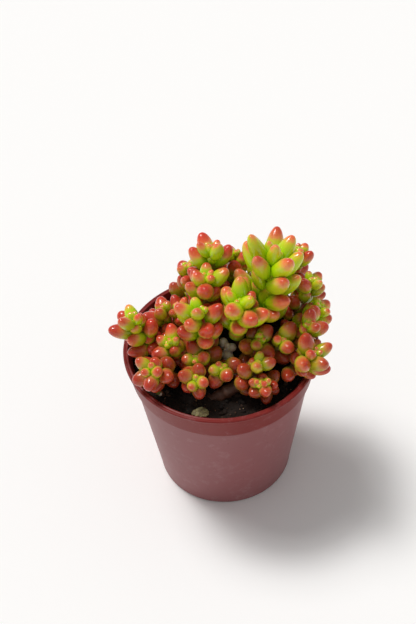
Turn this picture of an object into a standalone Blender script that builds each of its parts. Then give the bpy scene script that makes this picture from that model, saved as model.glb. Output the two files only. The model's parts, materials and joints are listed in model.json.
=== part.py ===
"""A jelly bean plant, Sedum rubrotinctum, in a small round nursery pot.

The pot stands on z = 0 with its axis on Z, and the front of the plant faces -Y. Each leafy stem is
one object: a curved stem that stands in a plain hole in the soil, with its bean-shaped leaves set
round its top in a spiral and fused to it. Lengths are in millimetres until a mesh is made, which is
in metres.
"""

import math
import random

import bmesh
import bpy
import numpy as np
from mathutils import Vector

MM = 0.001

# The pot: a thin moulded cup with a collar round its top, a foot ring and drain holes.
POT_HEIGHT = 53.0
RIM_RADIUS = 30.0
COLLAR_HEIGHT = 9.0
COLLAR_STEP = 0.7
BASE_RADIUS = 21.5
FOOT_HEIGHT = 1.6
FOOT_WIDTH = 2.2
WALL = 1.0
LIP = 0.5
INNER_LIP = 1.6
POT_SIDES = 36
DRAIN_RADIUS = 1.8
DRAIN_RING = 13.0
DRAIN_HOLES = 6
DRAIN_SIDES = 8

# The soil: it fills the pot to just under the rim, with a rippled top.
SOIL_LEVEL = 48.6
SOIL_CROWN = 1.2
SOIL_RIPPLE = 0.45
SOIL_GAP = 0.35
SOIL_SIDES = 24
SOIL_RINGS = 4

# A withered leaf on the soil: length, width and thickness, the width's change along it, and place.
DRY_LEAF = (5.2, 3.4, 1.3)
DRY_LEAF_FLARE = 0.25
DRY_LEAF_ARCH = 0.4
DRY_LEAF_PLACE = (-7.0, -23.4)
DRY_LEAF_GAP = 0.2

# The stems: each stands in a plain hole, runs straight until it is clear of the soil, then curves.
HOLE_DEPTH = 6.5
HOLE_GAP = 0.35
HOLE_SIDES = 6
STEM_CLEAR = 1.3
STEM_POINTS = 4
STEEPER = 1.2
ARRIVAL = 0.8
OLD_STEM_GIRTH = 3.5

# The leaves: plump beans in a spiral, which open from a bud and stand out further with age.
GOLDEN_ANGLE = math.radians(137.5)
LEAF_SEED = 7
BUD_LENGTH = 0.24
BUD_WIDTH = 0.36
FULL_LENGTH_AT = 5
FULL_WIDTH_AT = 5
BUD_SPREAD = 12
OPENING_POWER = 1.2
BUD_BEND, OLD_BEND = 8, 32
BUD_DOWN = 0.4
LENGTH_VARIES = (0.92, 1.06)
WIDTH_VARIES = (0.93, 1.07)
TURN_VARIES = 0.25
SPREAD_VARIES = 7
BEND_VARIES = 4
LOWEST_SHARE = 0.2
ROOT_SHARE = 0.74
WIDEST_AT = 0.5
TIP_SHARE = 0.9
BLUNT = 2.15
FACET_SWELL = 1.06
THICKNESS = 0.92
LONG_LEAF = 12.0
LONG_LEAF_FACETS = (6, 4)
LEAF_FACETS = (5, 3)

# The room that leaves keep: to other heads, to the rim and soil, and pressed on their own head.
HEAD_GAP = 0.35
LEAF_PRESS = 0.4
RIM_BAND = 4.5
OUTER_HALF = 0.45
SMALLEST_SPREAD = 0.1


def smooth(share):
    share = min(1.0, max(0.0, share))
    return share * share * (3 - 2 * share)


def unit(vector):
    return vector / np.linalg.norm(vector)


def soil_height_at(points):
    """The soil's top: low at the wall, a little higher in the middle, and rippled."""
    x, y = points[..., 0], points[..., 1]
    out = np.clip(np.hypot(x, y) / RIM_RADIUS, 0, 1)
    ripple = np.sin(0.55 * x + 0.9) * np.cos(0.47 * y - 0.4) + 0.6 * np.sin(0.9 * x - 0.75 * y)
    return SOIL_LEVEL + SOIL_CROWN * (1 - out**2) + SOIL_RIPPLE * ripple * (1 - out**6)


class Shoot:
    """One leafy stem. Its head is where its youngest leaves sit, root is where it enters the soil, and
    lean is the head's tilt from upright and the compass direction of that tilt, in degrees (0 is +X).
    Opening is how far its oldest leaves stand out from the stem, in degrees. A stem that creeps leaves
    the soil at a low angle."""

    def __init__(self, name, head, root, lean, opening, leaf, count, pitch, turn, girth, tone, creep=0.0):
        self.name = name
        self.head = np.array(head, float)
        self.root = np.array((*root, SOIL_LEVEL), float)
        self.root[2] = soil_height_at(self.root)
        tilt, compass = (math.radians(angle) for angle in lean)
        flat = (math.cos(compass), math.sin(compass))
        self.axis = np.array((math.sin(tilt) * flat[0], math.sin(tilt) * flat[1], math.cos(tilt)))
        self.rise = unit(unit(self.head - self.root) + (0.0, 0.0, STEEPER - creep))
        self.foot = self.root - self.rise * HOLE_DEPTH
        self.collar = self.root + self.rise * (girth / 2 + STEM_CLEAR * (1 - creep / 4)) / self.rise[2]
        self.opening = opening
        self.leaf_length, self.leaf_width = leaf
        self.count, self.pitch, self.turn = count, pitch, math.radians(turn)
        self.girth, self.tone = girth, tone


# name, head (x, y, z), root (x, y), lean (tilt, compass), opening, leaf (length, width), number of
# leaves, pitch of the spiral, turn of the first leaf, girth of the stem at the soil, tone, creep
STEMS = [
    ("crown", (16, 4.5, 82), (11, 5), (13, 60), 51, (13.8, 5.4), 20, 1.0, 24, 3.8, "green"),
    ("crown_front", (6, -3, 74), (5, 1), (6, 74), 48, (11.0, 5.4), 16, 0.85, 89, 2.8, "green"),
    ("upper_left", (-1.5, 13, 79.5), (-2, 9), (9, 119), 44, (9.5, 4.7), 12, 1.03, 312, 2.4, "green"),
    ("middle_back", (-3.5, 6, 75.5), (-5, 4), (9, 69), 45, (8.5, 4.7), 12, 0.81, 205, 2.2, "green"),
    ("middle", (-6, -4, 72), (-4, -4), (4, 76), 48, (9.0, 5.0), 16, 0.72, 26, 2.4, "green"),
    ("far_left", (-25.5, -0.5, 65.5), (-17, -1), (8, 147), 48, (9.5, 4.9), 18, 0.66, 227, 2.4, "green"),
    ("left_back", (-12, 6, 63.5), (-11, 6), (10, 117), 45, (7.0, 3.9), 10, 0.74, 177, 2.0, "bronze"),
    ("left_front", (-15, -6, 61), (-10, -4), (7, 145), 50, (7.5, 4.3), 11, 0.71, 274, 2.0, "green"),
    ("left_inner", (-17.5, 5.5, 63.5), (-14, 2), (10, 147), 45, (8.0, 4.4), 10, 0.92, 297, 1.8, "bronze"),
    ("rim_left", (-20.5, -16, 61), (-15, -9), (12, -126), 59, (7.5, 4.6), 12, 0.67, 113, 2.0, "bronze"),
    ("front_left", (-8, -18.5, 58.5), (-7, -10), (10, -96), 56, (6.5, 4.2), 11, 0.64, 358, 2.0, "bronze"),
    ("middle_low", (-7, -10, 58.5), (-4, -7.5), (10, -121), 57, (7.5, 4.7), 8, 0.64, 295, 1.8, "bronze"),
    ("front_middle", (0, -13.5, 57.5), (1, -7), (12, -96), 57, (7.0, 4.5), 11, 0.64, 300, 2.0, "bronze"),
    ("front_inner", (11, -7, 62), (8, -3), (5, -72), 58, (8.0, 4.9), 11, 0.65, 8, 2.0, "bronze"),
    ("front_right", (10.5, -15.5, 61.5), (-1.5, -17), (11, -88), 57, (7.5, 4.6), 12, 0.8, 344, 3.8, "bronze",
     1.5),
    ("soil_front", (11.5, -20, 58), (13, -15), (12, -76), 58, (7.0, 3.8), 7, 0.72, 280, 1.6, "bronze"),
    ("right_front", (18, -8.5, 63), (14, -4), (6, -89), 56, (7.5, 4.8), 13, 0.68, 284, 2.2, "bronze"),
    ("rim_right", (26.5, -13.5, 62.5), (19, -10), (8, 29), 55, (9.0, 4.6), 11, 0.67, 8, 2.0, "bronze"),
    ("right_middle", (25.5, -6.5, 67), (20, -3), (4, 8), 49, (7.5, 4.4), 12, 0.8, 76, 2.0, "bronze"),
    ("right_back", (30, 3.5, 63.5), (21, 3), (19, 25), 49, (7.5, 4.3), 10, 1.12, 74, 2.0, "green"),
    ("right_upper", (28, 9, 69.5), (20, 8), (10, 63), 48, (7.5, 4.2), 10, 1.05, 64, 2.0, "bronze"),
    ("top_right", (24.5, 16, 76), (17, 12), (12, 71), 46, (7.5, 4.1), 10, 1.46, 172, 2.2, "bronze"),
    ("top_middle", (5.5, 17, 75), (5, 12), (11, 95), 45, (7.5, 4.3), 10, 1.51, 332, 2.2, "bronze"),
    ("top_left", (-9, 16.5, 70.5), (-8, 13), (15, 132), 45, (7.0, 4.1), 11, 1.31, 341, 2.0, "bronze"),
    ("back_middle", (14, 21, 71), (11, 16), (28, 80), 52, (8.5, 4.2), 8, 1.5, 50, 2.2, "green"),
    ("back_left", (1, 25.5, 63), (1, 19), (42, 100), 54, (8.5, 4.2), 8, 1.2, 100, 2.0, "bronze"),
    ("back_right", (21, 24, 63), (16, 18), (42, 55), 54, (8.5, 4.2), 8, 1.2, 10, 2.0, "bronze"),
    ("rim_back", (29, 15, 61), (21, 12), (45, 30), 54, (8.0, 4.1), 7, 1.1, 200, 2.0, "bronze"),
    ("rim_back_left", (-12, 22, 57), (-11, 17), (42, 120), 55, (7.0, 3.9), 7, 0.75, 80, 1.8, "bronze"),
    ("pale", (2, -5, 57), (0, -2), (45, -95), 60, (5.0, 3.4), 6, 0.7, 140, 1.4, "pale"),
    ("tiny", (-19.5, -17, 51.8), (-18, -15.5), (40, -120), 60, (3.6, 2.4), 4, 0.6, 0, 1.0, "pale"),
]

SHOOTS = [Shoot(*stem) for stem in STEMS]


# ---- the plant's rule: stems, leaves and how leaves of different heads keep clear --------------


def stem_point(shoot, share):
    """A point of the stem's centre line: straight in its hole, then curved from 0 to its head at 1."""
    if share < 0:
        return shoot.collar + share * (shoot.collar - shoot.foot)
    reach = np.linalg.norm(shoot.head - shoot.collar)
    leave, arrive = shoot.rise * reach, shoot.axis * reach * ARRIVAL
    a, b, c = share, share * share, share**3
    return (
        (2 * c - 3 * b + 1) * shoot.collar
        + (c - 2 * b + a) * leave
        + (3 * b - 2 * c) * shoot.head
        + (c - b) * arrive
    )


def stem_radius(shoot, share):
    """A stem is woody and thick at the soil and slim under its head."""
    top = 0.18 * shoot.leaf_width + 0.1
    return top + (shoot.girth / 2 - top) * min(1.0, 1 - share) ** 0.8


class Leaf:
    """A bean: it starts on the stem, leaves it at an angle and curves up towards the stem's axis."""

    PROBES = (0.22, 0.4, 0.58, 0.74, 0.87, 0.95)

    def __init__(self, shoot, number, rng):
        oldest = max(1, shoot.count - 1)
        age = number / oldest
        growth = min(1.0, BUD_LENGTH + (1 - BUD_LENGTH) * (number / FULL_LENGTH_AT) ** 0.9)
        fill = BUD_WIDTH + (1 - BUD_WIDTH) * min(1.0, number / FULL_WIDTH_AT)
        self.shoot, self.number = shoot, number
        self.length = shoot.leaf_length * growth * rng.uniform(*LENGTH_VARIES)
        self.width = shoot.leaf_width * fill * rng.uniform(*WIDTH_VARIES)
        self.around = shoot.turn + number * GOLDEN_ANGLE + rng.uniform(-TURN_VARIES, TURN_VARIES)
        opened = BUD_SPREAD + (shoot.opening - BUD_SPREAD) * age**OPENING_POWER
        self.spread = math.radians(opened + rng.uniform(-SPREAD_VARIES, SPREAD_VARIES))
        bent = BUD_BEND + (OLD_BEND - BUD_BEND) * age
        self.bend = math.radians(bent + rng.uniform(-BEND_VARIES, BEND_VARIES))
        self.down = BUD_DOWN + number * shoot.pitch * math.sqrt(number / shoot.count)
        self.place()

    def place(self):
        """Finds where the leaf starts and its directions: along is the stem's, out is away from it."""
        shoot = self.shoot
        reach = np.linalg.norm(shoot.head - shoot.collar)
        share = max(LOWEST_SHARE, 1 - self.down / reach)
        self.start = stem_point(shoot, share)
        self.along = unit(stem_point(shoot, share + 0.02) - stem_point(shoot, share - 0.02))
        side = unit(np.cross(self.along, (0.0, 1.0, 0.02)))
        other = np.cross(self.along, side)
        self.out = math.cos(self.around) * side + math.sin(self.around) * other
        self.across = np.cross(self.along, self.out)

    def varied(self, turn, tip, size):
        """The same leaf turned round the stem, tipped and made smaller."""
        other = object.__new__(Leaf)
        other.__dict__.update(self.__dict__)
        other.around = self.around + turn
        other.spread = max(SMALLEST_SPREAD, self.spread + tip)
        other.length, other.width = self.length * size, self.width * (0.35 + 0.65 * size)
        other.place()
        return other

    def heading(self, t):
        return self.spread - self.bend * t

    def centre(self, t):
        """The centre line at share t of the length: an arc that turns up by the leaf's bend."""
        bend, spread = self.bend, self.spread
        rise = (math.sin(spread) - math.sin(spread - bend * t)) / bend
        reach = (math.cos(spread - bend * t) - math.cos(spread)) / bend
        return self.start + self.length * (rise * self.along + reach * self.out)

    def radius(self, t):
        """Half the width at share t: fullest in the middle, round at the tip and slimmer at the root."""
        club = ROOT_SHARE + (1 - ROOT_SHARE) * smooth(t / WIDEST_AT)
        club *= 1 - (1 - TIP_SHARE) * smooth((t - WIDEST_AT) / (1 - WIDEST_AT))
        return self.width / 2 * max(0.0, 1 - abs(2 * t - 1) ** BLUNT) ** (1 / BLUNT) * club

    def surface(self, turn, t):
        """The point of the leaf's skin at an angle round it and a share of its length."""
        heading, half = self.heading(t), self.radius(t) * FACET_SWELL
        upper = -math.sin(heading) * self.along + math.cos(heading) * self.out
        aside = math.cos(turn) * self.across + THICKNESS * math.sin(turn) * upper
        return self.centre(t) + half * aside

    def spheres(self):
        """Spheres along the leaf that stand for its room, as (centres, radii)."""
        centres = np.array([self.centre(t) for t in self.PROBES])
        return centres, np.array([self.radius(t) for t in self.PROBES])


class Room:
    """The spheres of the stems and leaves that are already in place, and the pot and soil round them."""

    def __init__(self, shoots):
        self.centres, self.radii, self.owner, self.deep = [], [], [], []
        for shoot in shoots:
            for i in range(31):
                share = i / 25 - 0.2
                self.centres.append(stem_point(shoot, share))
                self.radii.append(stem_radius(shoot, share))
                self.owner.append(shoot.name)
                self.deep.append(True)

    def add(self, leaf):
        centres, radii = leaf.spheres()
        self.centres += list(centres)
        self.radii += list(radii)
        self.owner += [leaf.shoot.name] * len(radii)
        self.deep += [t < OUTER_HALF for t in leaf.PROBES]

    def freeze(self):
        """The same data as arrays, for a run of tests."""
        return (
            np.array(self.centres),
            np.array(self.radii),
            np.array(self.owner),
            np.array(self.deep),
        )

    @staticmethod
    def clear(leaf, frozen):
        """True where the leaf keeps off other heads, the soil and the rim, and only presses on its own."""
        centres, radii = leaf.spheres()
        around = np.hypot(centres[:, 0], centres[:, 1])
        ground = np.where(around > RIM_RADIUS - RIM_BAND, POT_HEIGHT, soil_height_at(centres))
        if (centres[:, 2] - radii < ground + HEAD_GAP).any():
            return False
        taken, wide, owner, deep = frozen
        gaps = np.linalg.norm(centres[:, None] - taken[None], axis=2) - radii[:, None] - wide[None]
        own = owner == leaf.shoot.name
        if (gaps[:, ~own] < HEAD_GAP).any():
            return False
        outer = np.array(leaf.PROBES) > OUTER_HALF
        same = gaps[outer][:, own & ~deep]
        return not (same < -LEAF_PRESS).any()


def variations():
    """The turns, tips and sizes that a leaf tries, the smallest change first."""
    found = []
    for size in (1.0, 0.92, 0.84, 0.76, 0.68, 0.6, 0.5):
        for turn in (0, 8, -8, 16, -16, 26, -26, 38, -38):
            for tip in (0, -9, 9, -18, 18, -28, 28):
                cost = 14 * (1 - size) + abs(turn) / 11 + abs(tip) / 10
                found.append((cost, math.radians(turn), math.radians(tip), size))
    return sorted(found, key=lambda each: each[0])


def leaves_of(shoot):
    """The leaves of one shoot as they would stand with no neighbours, youngest first."""
    rng = random.Random(f"{LEAF_SEED} {shoot.name} {math.degrees(shoot.turn):.0f}")
    return [Leaf(shoot, number, rng) for number in range(shoot.count)]


def grow(shoots):
    """The leaves of every shoot, youngest first. A leaf with no room is bent clear, or left off."""
    room, tries = Room(shoots), variations()
    waiting = {shoot.name: leaves_of(shoot) for shoot in shoots}
    placed = {shoot.name: [] for shoot in shoots}
    for number in range(max(shoot.count for shoot in shoots)):
        for shoot in shoots:
            if number >= shoot.count:
                continue
            frozen = room.freeze()
            for _, turn, tip, size in tries:
                leaf = waiting[shoot.name][number].varied(turn, tip, size)
                if Room.clear(leaf, frozen):
                    room.add(leaf)
                    placed[shoot.name].append(leaf)
                    break
    return placed


# ---- meshes -----------------------------------------------------------------------------------


def clear_scene():
    for old in list(bpy.data.objects):
        bpy.data.objects.remove(old)


def collection(name, parent=None):
    made = bpy.data.collections.new(name)
    (parent or bpy.context.scene.collection).children.link(made)
    return made


def finish_of(name, colour, roughness, subsurface=0.0):
    material = bpy.data.materials.new(name)
    material.use_nodes = True
    shader = material.node_tree.nodes["Principled BSDF"]
    shader.inputs["Base Color"].default_value = (*colour, 1.0)
    shader.inputs["Roughness"].default_value = roughness
    shader.inputs["Metallic"].default_value = 0.0
    shader.inputs["Subsurface Weight"].default_value = subsurface
    return material


def add_object(name, mesh, home, material=None):
    made = bpy.data.objects.new(name, mesh)
    home.objects.link(made)
    if material:
        made.data.materials.append(material)
    return made


def mesh_of(name, shape):
    """A mesh from a bmesh, which is freed."""
    bmesh.ops.recalc_face_normals(shape, faces=shape.faces)
    mesh = bpy.data.meshes.new(name)
    shape.to_mesh(mesh)
    shape.free()
    return mesh


def turned(name, profile, sides, home, material):
    """A shape turned round Z from (radius, height) points, down its outer side and back up inside."""
    shape = bmesh.new()
    corners = [shape.verts.new((radius * MM, 0, height * MM)) for radius, height in profile]
    for first, second in zip(corners, corners[1:]):
        shape.edges.new((first, second))
    mesh = bpy.data.meshes.new(name)
    shape.to_mesh(mesh)
    shape.free()
    made = add_object(name, mesh, home, material)
    screw = made.modifiers.new("turn", "SCREW")
    screw.steps = screw.render_steps = sides
    screw.use_merge_vertices = True
    screw.merge_threshold = 0.00001
    return made


def wall_radius(height):
    """The outer radius of the pot's tapered wall at a height."""
    top = RIM_RADIUS - LIP - COLLAR_STEP
    return BASE_RADIUS + (top - BASE_RADIUS) * height / POT_HEIGHT


def cylinder(name, radius, low, high, sides, home):
    """A closed cylinder from one point to another, for cutting."""
    low, high = Vector(low), Vector(high)
    shape = bmesh.new()
    bmesh.ops.create_cone(
        shape,
        cap_ends=True,
        segments=sides,
        radius1=radius * MM,
        radius2=radius * MM,
        depth=(high - low).length * MM,
    )
    turn = (high - low).to_track_quat("Z", "Y").to_matrix().to_4x4()
    bmesh.ops.transform(shape, matrix=turn, verts=shape.verts)
    bmesh.ops.translate(shape, vec=(low + high) / 2 * MM, verts=shape.verts)
    made = add_object(name, mesh_of(name, shape), home)
    made.hide_render = True
    made.display_type = "WIRE"
    return made


def applied(made, operation, tools):
    """Runs one Boolean with a collection on an object, keeps its result and removes the collection."""
    cut = made.modifiers.new("join", "BOOLEAN")
    cut.operation = operation
    cut.operand_type = "COLLECTION"
    cut.collection = tools
    cut.solver = "EXACT"
    graph = bpy.context.evaluated_depsgraph_get()
    graph.update()
    mesh = bpy.data.meshes.new_from_object(made.evaluated_get(graph))
    made.modifiers.clear()
    made.data = mesh
    for tool in list(tools.objects):
        bpy.data.objects.remove(tool)
    bpy.data.collections.remove(tools)
    return made


def make_pot(home, plastic):
    collar_foot = POT_HEIGHT - COLLAR_HEIGHT
    collar_radius = wall_radius(collar_foot) + COLLAR_STEP
    inside_floor = FOOT_HEIGHT + WALL
    profile = [
        (RIM_RADIUS - LIP, POT_HEIGHT),
        (RIM_RADIUS, POT_HEIGHT - LIP),
        (RIM_RADIUS - LIP, POT_HEIGHT - 2.5 * LIP),
        (collar_radius, collar_foot + 0.2),
        (wall_radius(collar_foot - 0.3), collar_foot - 0.3),
        (BASE_RADIUS + 0.4, 1.0),
        (BASE_RADIUS, 0.0),
        (BASE_RADIUS - FOOT_WIDTH, 0.0),
        (BASE_RADIUS - FOOT_WIDTH - 0.5, FOOT_HEIGHT),
        (0, FOOT_HEIGHT),
        (0, inside_floor),
        (wall_radius(inside_floor) - WALL, inside_floor),
        (wall_radius(POT_HEIGHT - 1) - WALL, POT_HEIGHT - 1),
        (RIM_RADIUS - INNER_LIP, POT_HEIGHT),
        (RIM_RADIUS - LIP, POT_HEIGHT),
    ]
    pot = turned("pot", profile, POT_SIDES, home, plastic)
    drains = collection("drains")
    spots = [(0.0, 0.0)]
    for i in range(DRAIN_HOLES):
        angle = math.tau * i / DRAIN_HOLES
        spots.append((DRAIN_RING * math.cos(angle), DRAIN_RING * math.sin(angle)))
    for i, spot in enumerate(spots):
        low, high = (*spot, FOOT_HEIGHT - 1), (*spot, inside_floor + 1)
        cylinder(f"drain_{i}", DRAIN_RADIUS, low, high, DRAIN_SIDES, drains)
    return applied(pot, "DIFFERENCE", drains)


def make_soil(home, earth, shoots):
    """A plug that follows the pot's inside, with a rippled top and a plain hole for each stem."""
    floor = FOOT_HEIGHT + WALL + SOIL_GAP
    low_radius = wall_radius(floor + 1) - WALL - SOIL_GAP - 0.5
    top_radius = wall_radius(SOIL_LEVEL) - WALL - SOIL_GAP
    shape = bmesh.new()
    rings = []
    for i in range(1, SOIL_RINGS + 1):
        radius = top_radius * i / SOIL_RINGS
        ring = []
        for side in range(SOIL_SIDES):
            angle = math.tau * side / SOIL_SIDES
            x, y = radius * math.cos(angle), radius * math.sin(angle)
            height = float(soil_height_at(np.array((x, y, 0.0))))
            ring.append(shape.verts.new((x * MM, y * MM, height * MM)))
        rings.append(ring)
    crest = float(soil_height_at(np.zeros(3)))
    middle = shape.verts.new((0, 0, crest * MM))
    foot = []
    for side in range(SOIL_SIDES):
        angle = math.tau * side / SOIL_SIDES
        x, y = low_radius * math.cos(angle), low_radius * math.sin(angle)
        foot.append(shape.verts.new((x * MM, y * MM, floor * MM)))
    rings.append(foot)
    for side in range(SOIL_SIDES):
        after = (side + 1) % SOIL_SIDES
        shape.faces.new((middle, rings[0][side], rings[0][after]))
        for inner, outer in zip(rings, rings[1:]):
            shape.faces.new((inner[side], outer[side], outer[after], inner[after]))
    shape.faces.new(foot)
    soil = add_object("soil", mesh_of("soil", shape), home, earth)
    holes = collection("holes")
    for shoot in shoots:
        radius = (shoot.girth / 2 + HOLE_GAP) / math.cos(math.pi / HOLE_SIDES)
        low, high = shoot.foot - shoot.rise * HOLE_GAP, shoot.collar + shoot.rise
        cylinder(f"hole_{shoot.name}", radius, low, high, HOLE_SIDES, holes)
    return applied(soil, "DIFFERENCE", holes)


def make_dry_leaf(home, dry):
    """A withered leaf that lies on the soil by the wall: a flat, bent bean."""
    shape = bmesh.new()
    bmesh.ops.create_uvsphere(shape, u_segments=8, v_segments=5, radius=1.0)
    length, width, thickness = (size / 2 for size in DRY_LEAF)
    corners = []
    for vert in shape.verts:
        x, y = vert.co.x * length, vert.co.y * width * (1 + DRY_LEAF_FLARE * vert.co.x)
        arch = DRY_LEAF_ARCH * (1 - vert.co.x**2)
        corners.append((x + DRY_LEAF_PLACE[0], y + DRY_LEAF_PLACE[1], vert.co.z * thickness + arch))
    corners = np.array(corners)
    corners[:, 2] += (soil_height_at(corners) - corners[:, 2]).max() + DRY_LEAF_GAP
    for vert, corner in zip(shape.verts, corners):
        vert.co = Vector(corner) * MM
    add_object("dry_leaf", mesh_of("dry_leaf", shape), home, dry)


def leaf_mesh(leaf, sides, rings):
    """A ball shaped into the leaf: its z, from -1 to 1, runs from the leaf's root to its tip."""
    shape = bmesh.new()
    bmesh.ops.create_uvsphere(shape, u_segments=sides, v_segments=rings, radius=1.0)
    for vert in shape.verts:
        height = max(-1.0, min(1.0, vert.co.z))
        share = 0.5 + 0.25 * (height + math.sin(height * math.pi / 2))
        vert.co = Vector(leaf.surface(math.atan2(vert.co.y, vert.co.x), share)) * MM
    return mesh_of("leaf", shape)


def stem_mesh(shoot):
    """The stem as a tube that thins towards its head, from a curve with filled caps."""
    curve = bpy.data.curves.new("stem", "CURVE")
    curve.dimensions = "3D"
    curve.bevel_depth = MM
    curve.bevel_resolution = 1 if shoot.girth > OLD_STEM_GIRTH else 0
    curve.use_fill_caps = True
    spline = curve.splines.new("POLY")
    spline.points.add(STEM_POINTS)
    shares = [-1.0] + [i / (STEM_POINTS - 1) for i in range(STEM_POINTS)]
    for point, share in zip(spline.points, shares):
        point.co = (*(stem_point(shoot, share) * MM), 1.0)
        point.radius = stem_radius(shoot, share)
    made = bpy.data.objects.new("stem", curve)
    bpy.context.scene.collection.objects.link(made)
    graph = bpy.context.evaluated_depsgraph_get()
    graph.update()
    mesh = bpy.data.meshes.new_from_object(made.evaluated_get(graph))
    bpy.data.objects.remove(made)
    shape = bmesh.new()
    shape.from_mesh(mesh)
    bmesh.ops.remove_doubles(shape, verts=shape.verts, dist=0.00001)
    return mesh_of("stem", shape)


def keep_skin(made):
    """Keeps a fused shape's outer skin alone, which fills any hollow that leaves closed among them."""
    shape = bmesh.new()
    shape.from_mesh(made.data)
    waiting, skins = set(shape.faces), []
    while waiting:
        skin, edge = set(), [waiting.pop()]
        while edge:
            face = edge.pop()
            skin.add(face)
            near = {other for side in face.edges for other in side.link_faces}
            edge += near & waiting
            waiting -= near
        skins.append(skin)
    skins.sort(key=len)
    inner = [face for skin in skins[:-1] for face in skin]
    bmesh.ops.delete(shape, geom=inner, context="FACES")
    shape.to_mesh(made.data)
    shape.free()


def make_shoot(shoot, leaves, home, flesh):
    """One leafy stem: the stem with its leaves fused to it."""
    made = add_object(f"leafy_stem_{shoot.name}", stem_mesh(shoot), home, flesh)
    beans = collection(f"leaves_{shoot.name}")
    for leaf in leaves:
        long = leaf.length > LONG_LEAF
        mesh = leaf_mesh(leaf, *(LONG_LEAF_FACETS if long else LEAF_FACETS))
        add_object("leaf", mesh, beans, flesh)
    keep_skin(applied(made, "UNION", beans))


def main():
    clear_scene()
    home = collection("jelly_bean_plant")
    plastic = finish_of("pot_plastic", (0.36, 0.085, 0.065), 0.38)
    earth = finish_of("soil", (0.018, 0.012, 0.009), 0.95)
    tones = {
        "green": finish_of("leaf_green", (0.42, 0.42, 0.03), 0.32, 0.2),
        "bronze": finish_of("leaf_bronze", (0.42, 0.13, 0.04), 0.32, 0.2),
        "pale": finish_of("leaf_pale", (0.55, 0.42, 0.28), 0.45, 0.2),
    }
    make_pot(home, plastic)
    make_soil(home, earth, SHOOTS)
    make_dry_leaf(home, finish_of("dry_leaf", (0.20, 0.17, 0.06), 0.8))
    leaves = grow(SHOOTS)
    for shoot in SHOOTS:
        make_shoot(shoot, leaves[shoot.name], home, tones[shoot.tone])
        print(shoot.name, "leaves", len(leaves[shoot.name]), "of", shoot.count)


main()
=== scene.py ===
"""The looks of a jelly bean plant, Sedum rubrotinctum, in its small nursery pot.

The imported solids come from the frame, in metres. Each leafy stem's solid is replaced by smooth, fleshy
leaves and a stem that stand where the solid stands, and the pot, soil and withered leaf by finer ones.
Lengths here are in millimetres until a mesh is made.
"""

import json
import math
import random

import bmesh
import bpy
import numpy as np
from mathutils import Matrix, Vector, noise

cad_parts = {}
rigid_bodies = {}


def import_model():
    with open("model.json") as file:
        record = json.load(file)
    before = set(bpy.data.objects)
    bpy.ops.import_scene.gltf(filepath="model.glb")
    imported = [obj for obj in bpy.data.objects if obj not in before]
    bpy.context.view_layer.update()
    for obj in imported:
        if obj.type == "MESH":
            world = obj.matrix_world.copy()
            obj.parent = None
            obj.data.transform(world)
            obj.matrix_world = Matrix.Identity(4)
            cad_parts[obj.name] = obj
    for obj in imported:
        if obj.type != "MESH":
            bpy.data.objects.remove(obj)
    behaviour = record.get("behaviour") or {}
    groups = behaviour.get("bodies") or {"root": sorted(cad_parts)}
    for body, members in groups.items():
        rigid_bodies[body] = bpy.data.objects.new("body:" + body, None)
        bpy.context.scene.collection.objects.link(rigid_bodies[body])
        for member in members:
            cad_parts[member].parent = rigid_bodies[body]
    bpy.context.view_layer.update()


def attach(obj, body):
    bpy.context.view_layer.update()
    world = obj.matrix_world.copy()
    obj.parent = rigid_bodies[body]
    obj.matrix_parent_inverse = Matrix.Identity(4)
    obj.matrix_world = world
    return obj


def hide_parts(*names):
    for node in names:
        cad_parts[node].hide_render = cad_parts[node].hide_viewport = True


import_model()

MM = 0.001
ROOT = "root"

# The camera looks down on the rim's middle from the front, and rolls a little. The distance is in
# metres, the sensor in millimetres and the rest in pixels.
CAMERA_ELEVATION = math.radians(48.2)
CAMERA_ROLL = math.radians(2.5)
CAMERA_DISTANCE = 0.367
FRAME_HEIGHT = 624
FOCAL_PIXELS = 1200
SENSOR = 36.0
SHIFT_PIXELS = (-13, 33)

# The pot: a thin moulded cup with a collar round its top, a foot ring and drain holes.
POT_HEIGHT = 53.0
RIM_RADIUS = 30.0
COLLAR_HEIGHT = 9.0
COLLAR_STEP = 0.7
BASE_RADIUS = 21.5
FOOT_HEIGHT = 1.6
FOOT_WIDTH = 2.2
WALL = 1.0
LIP = 0.5
INNER_LIP = 1.6
DRAIN_RADIUS = 1.8
DRAIN_RING = 13.0
DRAIN_HOLES = 6

# The soil: it fills the pot to just under the rim, with a rippled top.
SOIL_LEVEL = 48.6
SOIL_CROWN = 1.2
SOIL_RIPPLE = 0.45
SOIL_GAP = 0.35

# A withered leaf on the soil: length, width and thickness, the width's change along it, and place.
DRY_LEAF = (5.2, 3.4, 1.3)
DRY_LEAF_FLARE = 0.25
DRY_LEAF_ARCH = 0.4
DRY_LEAF_PLACE = (-7.0, -23.4)
DRY_LEAF_LIFT = 0.02

# The stems: each stands in a plain hole, runs straight until it is clear of the soil, then curves.
HOLE_DEPTH = 6.5
STEM_CLEAR = 1.3
STEEPER = 1.2
ARRIVAL = 0.8
OLD_STEM_GIRTH = 3.5
NECK_SHARE, NECK_EXTRA = 0.18, 0.1
TAPER_POWER = 0.8
STEM_STEP = 0.02

# The leaves: plump beans in a spiral, which open from a bud and stand out further with age.
GOLDEN_ANGLE = math.radians(137.5)
LEAF_SEED = 7
BUD_LENGTH = 0.24
BUD_WIDTH = 0.36
FULL_AT = 5
GROWTH_POWER = 0.9
BUD_SPREAD = 12
OPENING_POWER = 1.2
BUD_BEND, OLD_BEND = 8, 32
BUD_DOWN = 0.4
LENGTH_VARIES = (0.92, 1.06)
WIDTH_VARIES = (0.93, 1.07)
TURN_VARIES = 0.25
SPREAD_VARIES = 7
BEND_VARIES = 4
LOWEST_SHARE = 0.2
ROOT_SHARE = 0.74
WIDEST_AT = 0.5
TIP_SHARE = 0.9
BLUNT = 2.15
THICKNESS = 0.92

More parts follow.
